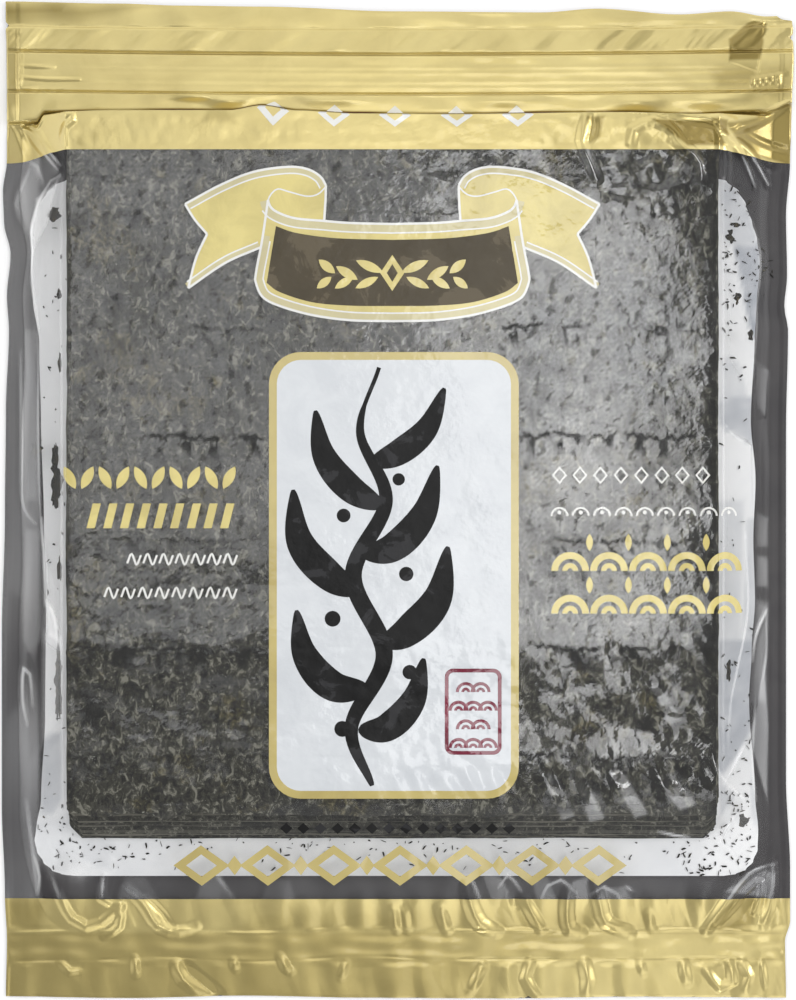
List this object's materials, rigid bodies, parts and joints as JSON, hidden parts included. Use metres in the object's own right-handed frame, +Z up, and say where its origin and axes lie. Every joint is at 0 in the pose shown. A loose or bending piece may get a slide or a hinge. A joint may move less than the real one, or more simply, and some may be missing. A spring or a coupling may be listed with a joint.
{
  "type": "sealed zip pouch of nori sheets",
  "caption": "Flat zip-top food pouch of roasted nori lying front up: clear window over the stacked dark sheets, gold ends, grey margins, bare plaque and ribbon panel",
  "frame": {"origin": "centre of the bounding box in plan, on the plane the pouch lies on", "axes": "X across the pouch, Y from the foot seal to the zip header, Z up out of the front"},
  "size_m": [0.2336, 0.2938, 0.0147],
  "materials": {
    "pouch_film": "gold-printed glossy film, wrinkled",
    "window_film": "clear glossy film",
    "back_film": "opaque film, white panel on dark grey",
    "print_ink": "printed ink under gloss",
    "nori": "dry roasted seaweed, rough with fine fibres"
  },
  "bodies": {
    "root": {"pouch": "pouch_film"}
  },
  "joints": []
}
